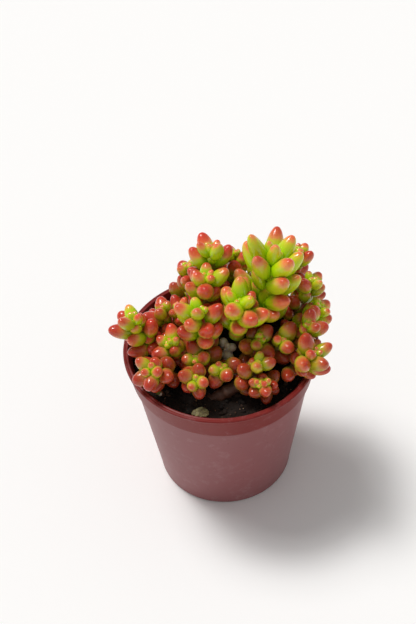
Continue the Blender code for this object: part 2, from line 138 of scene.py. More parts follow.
# The room that leaves keep to other heads, the rim and the soil, and how far their outer parts press
# into leaves of their own head. A stem's room is a row of spheres.
HEAD_GAP = 0.35
LEAF_PRESS = 0.4
RIM_BAND = 4.5
OUTER_HALF = 0.45
STEM_SPHERES, SPHERES_PER_STEM, SHARE_BELOW = 31, 25, 0.2

# What a leaf with no room tries, the least costly first: sizes, and turns and tips in degrees. A
# smaller leaf keeps more of its width than of its length.
TRY_SIZES = (1.0, 0.92, 0.84, 0.76, 0.68, 0.6, 0.5)
TRY_TURNS = (0, 8, -8, 16, -16, 26, -26, 38, -38)
TRY_TIPS = (0, -9, 9, -18, 18, -28, 28)
SIZE_COST, TURN_PER_COST, TIP_PER_COST = 14, 11, 10
WIDTH_KEPT = 0.35
SMALLEST_SPREAD = 0.1


def smooth(share):
    """Eases a share from 0 to 1, level at both ends."""
    share = min(1.0, max(0.0, share))
    return share * share * (3 - 2 * share)


def unit(vector):
    """The vector at length 1."""
    return vector / np.linalg.norm(vector)


def soil_height_at(points):
    """The soil's top: low at the wall, a little higher in the middle, and rippled."""
    x, y = points[..., 0], points[..., 1]
    out = np.clip(np.hypot(x, y) / RIM_RADIUS, 0, 1)
    ripple = np.sin(0.55 * x + 0.9) * np.cos(0.47 * y - 0.4) + 0.6 * np.sin(0.9 * x - 0.75 * y)
    return SOIL_LEVEL + SOIL_CROWN * (1 - out**2) + SOIL_RIPPLE * ripple * (1 - out**6)


class Shoot:
    """One leafy stem. Its head is where its youngest leaves sit, root is where it enters the soil, and
    lean is the head's tilt from upright and that tilt's compass direction, where 0 is +X. Opening is
    how far its oldest leaves stand out. A stem that creeps leaves the soil at a low angle."""

    def __init__(self, name, head, root, lean, opening, leaf, count, pitch, turn, girth, tone, creep=0.0):
        self.name = name
        self.head = np.array(head, float)
        self.root = np.array((*root, SOIL_LEVEL), float)
        self.root[2] = soil_height_at(self.root)
        tilt, compass = (math.radians(angle) for angle in lean)
        flat = (math.cos(compass), math.sin(compass))
        self.axis = np.array((math.sin(tilt) * flat[0], math.sin(tilt) * flat[1], math.cos(tilt)))
        self.rise = unit(unit(self.head - self.root) + (0.0, 0.0, STEEPER - creep))
        self.foot = self.root - self.rise * HOLE_DEPTH
        self.collar = self.root + self.rise * (girth / 2 + STEM_CLEAR * (1 - creep / 4)) / self.rise[2]
        self.opening = opening
        self.leaf_length, self.leaf_width = leaf
        self.count, self.pitch, self.turn = count, pitch, math.radians(turn)
        self.girth, self.tone = girth, tone


# name, head (x, y, z), root (x, y), lean (tilt, compass), opening, leaf (length, width), number of
# leaves, pitch of the spiral, turn of the first leaf, girth at the soil, tone, creep; angles in degrees
STEMS = [
    ("crown", (16, 4.5, 82), (11, 5), (13, 60), 51, (13.8, 5.4), 20, 1, 24, 3.8, "green"),
    ("crown_front", (6, -3, 74), (5, 1), (6, 74), 48, (11, 5.4), 16, 0.85, 89, 2.8, "green"),
    ("upper_left", (-1.5, 13, 79.5), (-2, 9), (9, 119), 44, (9.5, 4.7), 12, 1.03, 312, 2.4, "green"),
    ("middle_back", (-3.5, 6, 75.5), (-5, 4), (9, 69), 45, (8.5, 4.7), 12, 0.81, 205, 2.2, "green"),
    ("middle", (-6, -4, 72), (-4, -4), (4, 76), 48, (9, 5), 16, 0.72, 26, 2.4, "green"),
    ("far_left", (-25.5, -0.5, 65.5), (-17, -1), (8, 147), 48, (9.5, 4.9), 18, 0.66, 227, 2.4, "green"),
    ("left_back", (-12, 6, 63.5), (-11, 6), (10, 117), 45, (7, 3.9), 10, 0.74, 177, 2, "bronze"),
    ("left_front", (-15, -6, 61), (-10, -4), (7, 145), 50, (7.5, 4.3), 11, 0.71, 274, 2, "green"),
    ("left_inner", (-17.5, 5.5, 63.5), (-14, 2), (10, 147), 45, (8, 4.4), 10, 0.92, 297, 1.8, "bronze"),
    ("rim_left", (-20.5, -16, 61), (-15, -9), (12, -126), 59, (7.5, 4.6), 12, 0.67, 113, 2, "bronze"),
    ("front_left", (-8, -18.5, 58.5), (-7, -10), (10, -96), 56, (6.5, 4.2), 11, 0.64, 358, 2, "bronze"),
    ("middle_low", (-7, -10, 58.5), (-4, -7.5), (10, -121), 57, (7.5, 4.7), 8, 0.64, 295, 1.8, "bronze"),
    ("front_middle", (0, -13.5, 57.5), (1, -7), (12, -96), 57, (7, 4.5), 11, 0.64, 300, 2, "bronze"),
    ("front_inner", (11, -7, 62), (8, -3), (5, -72), 58, (8, 4.9), 11, 0.65, 8, 2, "bronze"),
    ("front_right", (10.5, -15.5, 61.5), (-1.5, -17), (11, -88), 57, (7.5, 4.6), 12, 0.8, 344, 3.8,
     "bronze", 1.5),
    ("soil_front", (11.5, -20, 58), (13, -15), (12, -76), 58, (7, 3.8), 7, 0.72, 280, 1.6, "bronze"),
    ("right_front", (18, -8.5, 63), (14, -4), (6, -89), 56, (7.5, 4.8), 13, 0.68, 284, 2.2, "bronze"),
    ("rim_right", (26.5, -13.5, 62.5), (19, -10), (8, 29), 55, (9, 4.6), 11, 0.67, 8, 2, "bronze"),
    ("right_middle", (25.5, -6.5, 67), (20, -3), (4, 8), 49, (7.5, 4.4), 12, 0.8, 76, 2, "bronze"),
    ("right_back", (30, 3.5, 63.5), (21, 3), (19, 25), 49, (7.5, 4.3), 10, 1.12, 74, 2, "green"),
    ("right_upper", (28, 9, 69.5), (20, 8), (10, 63), 48, (7.5, 4.2), 10, 1.05, 64, 2, "bronze"),
    ("top_right", (24.5, 16, 76), (17, 12), (12, 71), 46, (7.5, 4.1), 10, 1.46, 172, 2.2, "bronze"),
    ("top_middle", (5.5, 17, 75), (5, 12), (11, 95), 45, (7.5, 4.3), 10, 1.51, 332, 2.2, "bronze"),
    ("top_left", (-9, 16.5, 70.5), (-8, 13), (15, 132), 45, (7, 4.1), 11, 1.31, 341, 2, "bronze"),
    ("back_middle", (14, 21, 71), (11, 16), (28, 80), 52, (8.5, 4.2), 8, 1.5, 50, 2.2, "green"),
    ("back_left", (1, 25.5, 63), (1, 19), (42, 100), 54, (8.5, 4.2), 8, 1.2, 100, 2, "bronze"),
    ("back_right", (21, 24, 63), (16, 18), (42, 55), 54, (8.5, 4.2), 8, 1.2, 10, 2, "bronze"),
    ("rim_back", (29, 15, 61), (21, 12), (45, 30), 54, (8, 4.1), 7, 1.1, 200, 2, "bronze"),
    ("rim_back_left", (-12, 22, 57), (-11, 17), (42, 120), 55, (7, 3.9), 7, 0.75, 80, 1.8, "bronze"),
    ("pale", (2, -5, 57), (0, -2), (45, -95), 60, (5, 3.4), 6, 0.7, 140, 1.4, "pale"),
    ("tiny", (-19.5, -17, 51.8), (-18, -15.5), (40, -120), 60, (3.6, 2.4), 4, 0.6, 0, 1, "pale"),
]

SHOOTS = [Shoot(*stem) for stem in STEMS]


# ---- the plant's rule: stems, leaves and the room between leaves ----


def stem_point(shoot, share):
    """A point of the stem's centre line: straight in its hole, then curved from 0 to its head at 1."""
    if share < 0:
        return shoot.collar + share * (shoot.collar - shoot.foot)
    reach = np.linalg.norm(shoot.head - shoot.collar)
    leave, arrive = shoot.rise * reach, shoot.axis * reach * ARRIVAL
    a, b, c = share, share * share, share**3
    return (
        (2 * c - 3 * b + 1) * shoot.collar
        + (c - 2 * b + a) * leave
        + (3 * b - 2 * c) * shoot.head
        + (c - b) * arrive
    )


def stem_frame(shoot, share):
    """A stem's direction at a share of it, and two directions square to that."""
    along = unit(stem_point(shoot, share + STEM_STEP) - stem_point(shoot, share - STEM_STEP))
    side = unit(np.cross(along, (0.0, 1.0, 0.02)))
    return along, side, np.cross(along, side)


def stem_radius(shoot, share):
    """A stem is woody and thick at the soil and slim under its head."""
    top = NECK_SHARE * shoot.leaf_width + NECK_EXTRA
    return top + (shoot.girth / 2 - top) * min(1.0, 1 - share) ** TAPER_POWER


class Leaf:
    """A bean: it starts on the stem, leaves it at an angle and curves up towards the stem's axis."""

    PROBES = (0.22, 0.4, 0.58, 0.74, 0.87, 0.95)

    def __init__(self, shoot, number, rng):
        oldest = max(1, shoot.count - 1)
        age = number / oldest
        growth = min(1.0, BUD_LENGTH + (1 - BUD_LENGTH) * (number / FULL_AT) ** GROWTH_POWER)
        fill = BUD_WIDTH + (1 - BUD_WIDTH) * min(1.0, number / FULL_AT)
        self.shoot, self.number = shoot, number
        self.length = shoot.leaf_length * growth * rng.uniform(*LENGTH_VARIES)
        self.width = shoot.leaf_width * fill * rng.uniform(*WIDTH_VARIES)
        self.around = shoot.turn + number * GOLDEN_ANGLE + rng.uniform(-TURN_VARIES, TURN_VARIES)
        opened = BUD_SPREAD + (shoot.opening - BUD_SPREAD) * age**OPENING_POWER
        self.spread = math.radians(opened + rng.uniform(-SPREAD_VARIES, SPREAD_VARIES))
        bent = BUD_BEND + (OLD_BEND - BUD_BEND) * age
        self.bend = math.radians(bent + rng.uniform(-BEND_VARIES, BEND_VARIES))
        self.down = BUD_DOWN + number * shoot.pitch * math.sqrt(number / shoot.count)
        self.place()

    def place(self):
        """Finds where the leaf starts and its directions: along is the stem's, out is away from it."""
        shoot = self.shoot
        reach = np.linalg.norm(shoot.head - shoot.collar)
        share = max(LOWEST_SHARE, 1 - self.down / reach)
        self.start = stem_point(shoot, share)
        self.along, side, other = stem_frame(shoot, share)
        self.out = math.cos(self.around) * side + math.sin(self.around) * other
        self.across = np.cross(self.along, self.out)

    def varied(self, turn, tip, size):
        """The same leaf turned round the stem, tipped and made smaller."""
        other = object.__new__(Leaf)
        other.__dict__.update(self.__dict__)
        other.around = self.around + turn
        other.spread = max(SMALLEST_SPREAD, self.spread + tip)
        other.length = self.length * size
        other.width = self.width * (WIDTH_KEPT + (1 - WIDTH_KEPT) * size)
        other.place()
        return other

    def centre(self, t):
        """The centre line at share t of the length: an arc that turns up by the leaf's bend."""
        bend, spread = self.bend, self.spread
        rise = (math.sin(spread) - math.sin(spread - bend * t)) / bend
        reach = (math.cos(spread - bend * t) - math.cos(spread)) / bend
        return self.start + self.length * (rise * self.along + reach * self.out)

    def radius(self, t):
        """Half the width at share t: fullest in the middle, round at the tip and slimmer at the root."""
        club = ROOT_SHARE + (1 - ROOT_SHARE) * smooth(t / WIDEST_AT)
        club *= 1 - (1 - TIP_SHARE) * smooth((t - WIDEST_AT) / (1 - WIDEST_AT))
        return self.width / 2 * max(0.0, 1 - abs(2 * t - 1) ** BLUNT) ** (1 / BLUNT) * club

    def spheres(self):
        """Spheres along the leaf that stand for its room, as (centres, radii)."""
        centres = np.array([self.centre(t) for t in self.PROBES])
        return centres, np.array([self.radius(t) for t in self.PROBES])


class Room:
    """The spheres of the stems and leaves that are already in place, and the pot and soil round them."""

    def __init__(self, shoots):
        self.centres, self.radii, self.owner, self.deep = [], [], [], []
        for shoot in shoots:
            for i in range(STEM_SPHERES):
                share = i / SPHERES_PER_STEM - SHARE_BELOW
                self.centres.append(stem_point(shoot, share))
                self.radii.append(stem_radius(shoot, share))
                self.owner.append(shoot.name)
                self.deep.append(True)

    def add(self, leaf):
        """Takes up a placed leaf's room."""
        centres, radii = leaf.spheres()
        self.centres += list(centres)
        self.radii += list(radii)
        self.owner += [leaf.shoot.name] * len(radii)
        self.deep += [t < OUTER_HALF for t in leaf.PROBES]

    def freeze(self, first):
        """The same data as arrays, for a run of tests, of the spheres that a leaf could reach."""
        # a little more than the longest leaf, half its width and the gap beyond
        reach = 1.1 * first.shoot.leaf_length + 0.6 * first.shoot.leaf_width + 1
        centres, radii = np.array(self.centres), np.array(self.radii)
        near = np.linalg.norm(centres - first.start, axis=1) < radii + reach
        return centres[near], radii[near], np.array(self.owner)[near], np.array(self.deep)[near]

    @staticmethod
    def clear(leaf, frozen, gap=HEAD_GAP, press=LEAF_PRESS):
        """True where a leaf keeps off other heads, the soil and the rim, and only presses on its own."""
        centres, radii = leaf.spheres()
        around = np.hypot(centres[:, 0], centres[:, 1])
        ground = np.where(around > RIM_RADIUS - RIM_BAND, POT_HEIGHT, soil_height_at(centres))
        if (centres[:, 2] - radii < ground + HEAD_GAP).any():
            return False
        taken, wide, owner, deep = frozen
        gaps = np.linalg.norm(centres[:, None] - taken[None], axis=2) - radii[:, None] - wide[None]
        own = owner == leaf.shoot.name
        if (gaps[:, ~own] < gap).any():
            return False
        outer = np.array(leaf.PROBES) > OUTER_HALF
        same = gaps[outer][:, own & ~deep]
        return not (same < -press).any()


def variations():
    """The turns, tips and sizes that a leaf tries, the smallest change first."""
    found = []
    for size in TRY_SIZES:
        for turn in TRY_TURNS:
            for tip in TRY_TIPS:
                cost = SIZE_COST * (1 - size) + abs(turn) / TURN_PER_COST + abs(tip) / TIP_PER_COST
                found.append((cost, math.radians(turn), math.radians(tip), size))
    return sorted(found, key=lambda each: each[0])


def leaves_of(shoot):
    """The leaves of one shoot as they would stand with no neighbours, youngest first."""
    rng = random.Random(f"{LEAF_SEED} {shoot.name} {math.degrees(shoot.turn):.0f}")
    return [Leaf(shoot, number, rng) for number in range(shoot.count)]


def grow(shoots):
    """The leaves of every shoot, youngest first. A leaf with no room is bent clear, or left off."""
    room, tries = Room(shoots), variations()
    waiting = {shoot.name: leaves_of(shoot) for shoot in shoots}
    placed = {shoot.name: [] for shoot in shoots}
    for number in range(max(shoot.count for shoot in shoots)):
        for shoot in shoots:
            if number >= shoot.count:
                continue
            frozen = room.freeze(waiting[shoot.name][number])
            for _, turn, tip, size in tries:
                leaf = waiting[shoot.name][number].varied(turn, tip, size)
                if Room.clear(leaf, frozen):
                    room.add(leaf)
                    placed[shoot.name].append(leaf)
                    break
    return placed, room


def wall_radius(height):
    """The outer radius of the pot's tapered wall at a height."""
    top = RIM_RADIUS - LIP - COLLAR_STEP
    return BASE_RADIUS + (top - BASE_RADIUS) * height / POT_HEIGHT


# ---- looks: meshes ----

LEAF_ROWS = 22
LEAF_SIDES = 24
STEM_ROWS = 40
STEM_SIDES = 16
STEM_FROM, STEM_TO = -0.75, 0.99
YOUNG_WOOD = 0.35
POT_STEPS = 180

# A fine leaf is a little fuller than its spheres, and has slight lumps.
SWELL = 1.08
LUMP = 0.018

# A leaf's tints: how much of its head's blush and bronze a young one has, and how far leaves differ.
YOUNG_BLUSH, YOUNG_BRONZE = 0.55, 0.35
BLUSH_VARIES = (-0.16, 0.12)
BRONZE_VARIES = (-0.15, 0.15)
BUD_LEAVES = 4.5
BUD_LESS_BLUSH, BUD_LESS_BRONZE = 0.25, 0.3

# Leaves that the solids leave out: tiny ones in each bud, and small ones in the gaps between others.
FILL_SEED = 3
BUDS = 6
BUD_NUMBERS = (0.1, 2.4)
FILL_ROUNDS = 15
FILL_FROM, FILL_PAST = 2.5, 7
FILL_GAP = 0.03
FILL_PRESS = 0.7
BUD_PRESS = 1.1
FILL_SIZES = (0.9, 0.75, 0.6, 0.46)
FILL_TRIES = 14
FILL_TIP = 0.35


def mesh_object(name, points, faces, material, features=None):
    """A smooth-shaded mesh object from points in millimetres, with named numbers for its material."""
    mesh = bpy.data.meshes.new(name)
    mesh.from_pydata((np.asarray(points) * MM).tolist(), [], faces)
    mesh.shade_smooth()
    for label, values in (features or {}).items():
        layer = mesh.attributes.new(label, "FLOAT", "POINT")
        layer.data.foreach_set("value", np.asarray(values, np.float32))
    made = bpy.data.objects.new(name, mesh)
    bpy.context.scene.collection.objects.link(made)
    mesh.materials.append(material)
    return made


def tube_faces(rows, sides, first, root_pole, tip_pole):
    """Faces of rows of points round a tube, closed at each end by a pole point."""
    pairs = [(side, (side + 1) % sides) for side in range(sides)]
    faces = []
    for row in range(rows - 1):
        low, high = first + row * sides, first + (row + 1) * sides
        faces += [(low + side, low + after, high + after, high + side) for side, after in pairs]
    last = first + (rows - 1) * sides
    faces += [(root_pole, first + after, first + side) for side, after in pairs]
    return faces + [(tip_pole, last + side, last + after) for side, after in pairs]


def fill_in(shoots, grown, room):
    """Adds the small leaves that the solids leave out, wherever the others leave them room."""
    rng = random.Random(FILL_SEED)
    leafy = [shoot for shoot in shoots if shoot.tone != "pale"]
    wanted = [(shoot, rng.uniform(*BUD_NUMBERS)) for shoot in leafy for _ in range(BUDS)]
    for _ in range(FILL_ROUNDS):
        wanted += [(shoot, rng.uniform(FILL_FROM, shoot.count + FILL_PAST)) for shoot in leafy]
    for shoot, number in wanted:
        # only where the leaf starts counts here, so it takes no random numbers from the fill
        frozen = room.freeze(Leaf(shoot, number, random.Random(0)))
        press = BUD_PRESS if number < FILL_FROM else FILL_PRESS
        for size in np.repeat(FILL_SIZES, FILL_TRIES):
            turn, tip = rng.uniform(0, math.tau), rng.uniform(-FILL_TIP, FILL_TIP)
            leaf = Leaf(shoot, number, rng).varied(turn, tip, size)
            if Room.clear(leaf, frozen, FILL_GAP, press):
                room.add(leaf)
                grown[shoot.name].append(leaf)
                break


def smooth_leaf(leaf, rng):
    """Points of one fleshy leaf, row by row from root to tip, with its own slight lumps."""
    shares = (1 - np.cos(np.linspace(0, math.pi, LEAF_ROWS + 2))) / 2
    turns = np.linspace(0, math.tau, LEAF_SIDES, endpoint=False)
    heading = leaf.spread - leaf.bend * shares
    centre = np.array([leaf.centre(share) for share in shares])
    upper = -np.sin(heading)[:, None] * leaf.along + np.cos(heading)[:, None] * leaf.out
    half = np.array([leaf.radius(share) for share in shares]) * SWELL
    phases = [rng.uniform(0, math.tau) for _ in range(3)]
    lumps = 1 + LUMP * (
        np.sin(2 * turns[None] + phases[0] + 3 * shares[:, None])
        + np.sin(3 * turns[None] + phases[1] - 5 * shares[:, None])
        + np.sin(7 * shares[:, None] + phases[2])
    )
    across = np.cos(turns)[None, :, None] * leaf.across
    lift = THICKNESS * np.sin(turns)[None, :, None] * upper[:, None]
    points = centre[:, None] + (half[:, None] * lumps)[..., None] * (across + lift)
    rows = points[1:-1].reshape(-1, 3)
    return np.vstack((centre[:1], rows, centre[-1:])), shares, turns


def leaf_features(leaf, shares, turns, look, rng):
    """What the leaf's material reads: how far along a point is, its upper side, and the leaf's tints."""
    count = LEAF_ROWS * LEAF_SIDES
    along = np.concatenate(([shares[0]], np.repeat(shares[1:-1], LEAF_SIDES), [shares[-1]]))
    outward = np.concatenate(([0.0], np.tile(np.sin(turns), LEAF_ROWS), [0.0]))
    age = leaf.number / max(1, leaf.shoot.count - 1)
    young = max(0.0, 1 - leaf.number / BUD_LEAVES)
    blush, bronze = look
    blush *= YOUNG_BLUSH + (1 - YOUNG_BLUSH) * age
    blush += rng.uniform(*BLUSH_VARIES) - BUD_LESS_BLUSH * young
    # older leaves, which sit lower, get more bronze: their own colour, and painted shade low in the plant
    # too
    bronze *= YOUNG_BRONZE + (1 - YOUNG_BRONZE) * age
    bronze += rng.uniform(*BRONZE_VARIES) - BUD_LESS_BRONZE * young
    values = {"blush": blush, "bronze": bronze, "young": young, "chance": rng.random()}
    features = {key: np.full(count + 2, np.clip(value, 0, 1)) for key, value in values.items()}
    return {"along": along, "outward": outward, **features}


def make_leaves(shoot, leaves, material, look):
    """The leaves of one shoot as one piece."""
    rng = random.Random(f"looks {shoot.name}")
    points, faces, features = [], [], {}
    per_leaf = LEAF_ROWS * LEAF_SIDES + 2
    for i, leaf in enumerate(leaves):
        rows, shares, turns = smooth_leaf(leaf, rng)
        first = i * per_leaf
        points.append(rows)
        faces += tube_faces(LEAF_ROWS, LEAF_SIDES, first + 1, first, first + per_leaf - 1)
        for key, values in leaf_features(leaf, shares, turns, look, rng).items():
            features.setdefault(key, []).append(values)
    features = {key: np.concatenate(values) for key, values in features.items()}
    return mesh_object(f"leaves_{shoot.name}", np.vstack(points), faces, material, features)


def make_stem(shoot, material):
    """A stem with swollen leaf scars, from inside its hole in the soil to its head."""
    rng = random.Random(f"stem {shoot.name}")
    shares = np.linspace(STEM_FROM, STEM_TO, STEM_ROWS)
    turns = np.linspace(0, math.tau, STEM_SIDES, endpoint=False)
    phase = rng.uniform(0, math.tau)
    points = []
    for share in shares:
        centre = stem_point(shoot, share)
        _, side, other = stem_frame(shoot, share)
        radius = stem_radius(shoot, share)
        rough = 1 + 0.07 * math.sin(23 * share + phase) + 0.05 * math.sin(41 * share + 2 * phase)
        for turn in turns:
            lump = 1 + 0.06 * math.sin(3 * turn + 9 * share + phase)
            lump += 0.04 * math.sin(5 * turn - 17 * share)
            aside = math.cos(turn) * side + math.sin(turn) * other
            points.append(centre + radius * rough * lump * aside)
    low, high = len(points), len(points) + 1
    points += [stem_point(shoot, shares[0]), stem_point(shoot, shares[-1])]
    along = np.concatenate((np.repeat(shares, STEM_SIDES), (shares[0], shares[-1])))
    faces = tube_faces(STEM_ROWS, STEM_SIDES, 0, low, high)
    woody = np.full(len(points), 1.0 if shoot.girth > OLD_STEM_GIRTH else YOUNG_WOOD)
    return mesh_object(f"stem_{shoot.name}", points, faces, material, {"along": along, "woody": woody})


# ---- looks: materials ----


def srgb(red, green, blue):
    """A colour given as 0 to 255 on a screen, as linear light."""
    shares = [value / 255 for value in (red, green, blue)]
    return tuple(s / 12.92 if s <= 0.04045 else ((s + 0.055) / 1.055) ** 2.4 for s in shares)


class Graph:
    """Short names for the nodes of one material."""

    def __init__(self, name, **settings):
        """Each setting is a socket of the shader, with _ for a space."""
        self.material = bpy.data.materials.new(name)
        self.material.use_nodes = True
        self.tree = self.material.node_tree
        self.shader = self.tree.nodes["Principled BSDF"]
        self.place = self.node("ShaderNodeTexCoord", {}).outputs["Object"]
        for label, value in settings.items():
            self.set(label.replace("_", " "), value)

    def link(self, value, socket):
        """Feeds a socket from another node's socket, a colour or a number."""
        if isinstance(value, bpy.types.NodeSocket):
            self.tree.links.new(value, socket)
        elif isinstance(value, tuple) and len(value) == 3 and socket.type == "RGBA":
            socket.default_value = (*value, 1.0)
        else:
            socket.default_value = value

    def node(self, kind, inputs, **settings):
        """A new node, with what its inputs are fed and its other settings."""
        made = self.tree.nodes.new(kind)
        for label, value in settings.items():
            setattr(made, label, value)
        for label, value in inputs.items():
            self.link(value, made.inputs[label])
        return made

    def number(self, label):
        """One of the mesh's own named numbers."""
        return self.node("ShaderNodeAttribute", {}, attribute_name=label).outputs["Fac"]

    def math(self, operation, *values):
        """One step of arithmetic."""
        return self.node("ShaderNodeMath", dict(enumerate(values)), operation=operation).outputs[0]

    def plus(self, first, second, times):
        """First, and second so many times."""
        return self.math("ADD", first, self.math("MULTIPLY", second, times))

    def ease(self, value, low, high):
        """0 below low, 1 above high and smooth between."""
        inputs = {"Value": value, "From Min": low, "From Max": high}
        return self.node("ShaderNodeMapRange", inputs, interpolation_type="SMOOTHSTEP").outputs[0]

    def noise(self, scale, detail=3.0, rough=0.5):
        """Cloudy values round 0.5."""
        inputs = {"Vector": self.place, "Scale": scale, "Detail": detail, "Roughness": rough}
        return self.node("ShaderNodeTexNoise", inputs).outputs["Fac"]

    def cells(self, scale):
        """The distance to the nearest of many scattered points."""
        inputs = {"Vector": self.place, "Scale": scale}
        return self.node("ShaderNodeTexVoronoi", inputs).outputs["Distance"]

    def mix(self, share, first, second):
        """A colour between two."""
        return self.node("ShaderNodeMix", {0: share, 6: first, 7: second}, data_type="RGBA").outputs[2]

    def ramp(self, value, stops):
        """A colour ramp from (place, colour) stops."""
        made = self.node("ShaderNodeValToRGB", {0: value})
        points = made.color_ramp.elements
        while len(points) < len(stops):
            points.new(0.5)
        for point, (place, colour) in zip(points, stops):
            point.position = place
            point.color = (*colour, 1.0)
        return made.outputs[0]

    def set(self, label, value):
        """Feeds one of the shader's sockets."""
        self.link(value, self.shader.inputs[label])

    def bump(self, height, strength, distance):
        """Makes the surface look uneven, by a distance in metres."""
        inputs = {"Height": height, "Strength": strength, "Distance": distance}
        self.set("Normal", self.node("ShaderNodeBump", inputs).outputs[0])


# The leaves' colours, from green through red, and the browns of old leaves, which on the low leaves are
# partly painted shade.
LIME_DEEP = srgb(98, 148, 2)
LIME = srgb(164, 212, 0)
LIME_PALE = srgb(194, 212, 20)
OCHRE = srgb(224, 186, 56)
ORANGE = srgb(234, 146, 82)
RED = srgb(226, 98, 62)
TIP_RED = srgb(208, 58, 44)
BRONZE = srgb(150, 96, 32)
WINE = srgb(98, 50, 18)
RUST = srgb(160, 82, 32)
RUST_RED = srgb(158, 56, 28)

# Where the pot's clean collar ends and its wall starts, which is dusty and carries a painted pale sheen,
# in metres.
WALL_TOP = (POT_HEIGHT - COLLAR_HEIGHT) * MM


def flesh(weight, radius, scale=0.001):
    """The settings of a surface that light goes into a little way."""
    return {"Subsurface_Weight": weight, "Subsurface_Radius": radius, "Subsurface_Scale": scale}


def leaf_finish(name):
    """Fleshy, waxy leaf: green at its root, then ochre and red towards a tip that the sun coloured."""
    wax = {"Specular_IOR_Level": 0.12, "Coat_Weight": 0.75, "Coat_Roughness": 0.08}
    g = Graph(name, Roughness=0.34, **flesh(0.22, (0.8, 0.6, 0.16), 0.0018), **wax)
    along, blush, bronze = g.number("along"), g.number("blush"), g.number("bronze")
    young, chance, outward = g.number("young"), g.number("chance"), g.number("outward")
    patches = g.noise(420, 2.0)
    speckle = g.noise(2600, 2.0, 0.6)
    flecks = g.cells(1900)
    # how near the tip a point counts as: patches, specks and the leaf's two sides make that uneven
    where = g.plus(along, g.math("SUBTRACT", patches, 0.5), 0.26)
    where = g.plus(where, g.math("SUBTRACT", speckle, 0.5), 0.16)
    where = g.plus(where, outward, -0.09)
    edge = g.math("SUBTRACT", 1.0, blush)
    warm = g.ease(where, g.math("SUBTRACT", edge, 0.28), g.math("ADD", edge, 0.38))
    green = g.ramp(along, ((0.0, LIME_DEEP), (0.35, LIME), (0.8, LIME_PALE)))
    fresh = g.mix(g.math("MULTIPLY", young, 0.6), green, LIME)
    brown = g.ramp(along, ((0.0, WINE), (0.45, BRONZE), (1.0, ORANGE)))
    body = g.mix(bronze, fresh, brown)
    red = g.ramp(warm, ((0.0, LIME_PALE), (0.26, OCHRE), (0.5, ORANGE), (0.76, RED), (1.0, TIP_RED)))
    rust = g.ramp(warm, ((0.0, BRONZE), (0.3, BRONZE), (0.65, RUST), (1.0, RUST_RED)))
    red = g.mix(g.math("MULTIPLY", bronze, 0.85), red, rust)
    colour = g.mix(g.ease(warm, 0.0, 0.55), body, red)
    dots = g.math("MULTIPLY", g.ease(flecks, 0.30, 0.12), 0.22)
    colour = g.mix(dots, colour, LIME_PALE)
    # bronze leaves are drawn darker: partly their own colour, partly painted shade on the low leaves
    value = g.plus(g.plus(0.92, chance, 0.2), bronze, -0.2)
    g.set("Base Color", g.node("ShaderNodeHueSaturation", {"Value": value, "Color": colour}).outputs[0])
    g.bump(g.plus(g.math("MULTIPLY", flecks, 0.5), speckle, 0.5), 0.12, 0.0001)
    return g.material


def stem_finish():
    """A stem: fleshy green or pink near its head and brown and woody where it is old."""
    g = Graph("stem_bark", Roughness=0.55, **flesh(0.1, (1.0, 0.5, 0.2)))
    along, woody = g.number("along"), g.number("woody")
    rough = g.noise(900, 4.0, 0.65)
    old = g.plus(g.math("SUBTRACT", woody, along), rough, 0.5)
    stops = (
        (0.0, srgb(128, 132, 44)),
        (0.3, srgb(150, 108, 62)),
        (0.62, srgb(118, 76, 48)),
        (1.0, srgb(84, 54, 38)),
    )
    g.set("Base Color", g.ramp(g.ease(old, -0.4, 1.1), stops))
    g.bump(rough, 0.5, 0.0003)
    return g.material


def pot_finish():
    """Thin reddish-brown moulded plastic: clean on the collar, scuffed and dusty on the wall below, with
    a painted pale sheen over the wall too.
    """
    g = Graph("pot_plastic", Roughness=0.4, Specular_IOR_Level=0.22)
    height = g.node("ShaderNodeSeparateXYZ", {0: g.place}).outputs["Z"]
    cloud = g.noise(60, 3.0)
    fine = g.noise(1400, 3.0, 0.6)
    marks = g.noise(260, 5.0, 0.7)
    base = g.mix(cloud, srgb(114, 30, 28), srgb(130, 38, 34))
    wall = g.math("SUBTRACT", 1.0, g.ease(height, WALL_TOP - 0.0012, WALL_TOP))
    # the wall below the collar is paled by dust and by a painted sheen, and scuff marks pale it further
    dust_and_sheen = g.plus(g.math("MULTIPLY", wall, 0.3), g.ease(marks, 0.5, 0.72), 0.16)
    colour = g.mix(dust_and_sheen, base, srgb(176, 142, 146))
    specks = g.math("MULTIPLY", g.ease(g.cells(420), 0.10, 0.05), 0.5)
    colour = g.mix(specks, colour, srgb(86, 40, 36))
    g.set("Base Color", colour)
    g.set("Roughness", g.plus(0.3, marks, 0.22))
    g.bump(g.plus(cloud, fine, 0.3), 0.12, 0.0004)
    return g.material


def soil_finish(name, dark, light, bump):
    """Crumbly peat: grains in two sizes between a dark and a lighter brown."""
    g = Graph(name, Roughness=0.93, Specular_IOR_Level=0.25)
    grain = g.noise(1500, 6.0, 0.75)
    clods = g.noise(300, 3.0)
    mixed = g.plus(g.math("MULTIPLY", grain, 0.6), clods, 0.4)
    g.set("Base Color", g.ramp(mixed, ((0.32, dark), (0.62, light))))
    g.bump(grain, bump, 0.0004)
    return g.material


def crumb_finish():
    """Crumbs of peat, from black to brown, each with its own tint."""
    g = Graph("crumbs", Roughness=0.9, Specular_IOR_Level=0.3)
    grain = g.noise(2600, 4.0, 0.7)
    stops = (
        (0.0, srgb(17, 13, 11)),
        (0.55, srgb(34, 25, 20)),
        (0.85, srgb(66, 46, 34)),
        (1.0, srgb(118, 88, 66)),
    )
    colour = g.ramp(g.number("tint"), stops)
    g.set("Base Color", g.mix(g.math("MULTIPLY", grain, 0.5), colour, srgb(14, 10, 9)))
    g.bump(grain, 0.5, 0.0002)
    return g.material


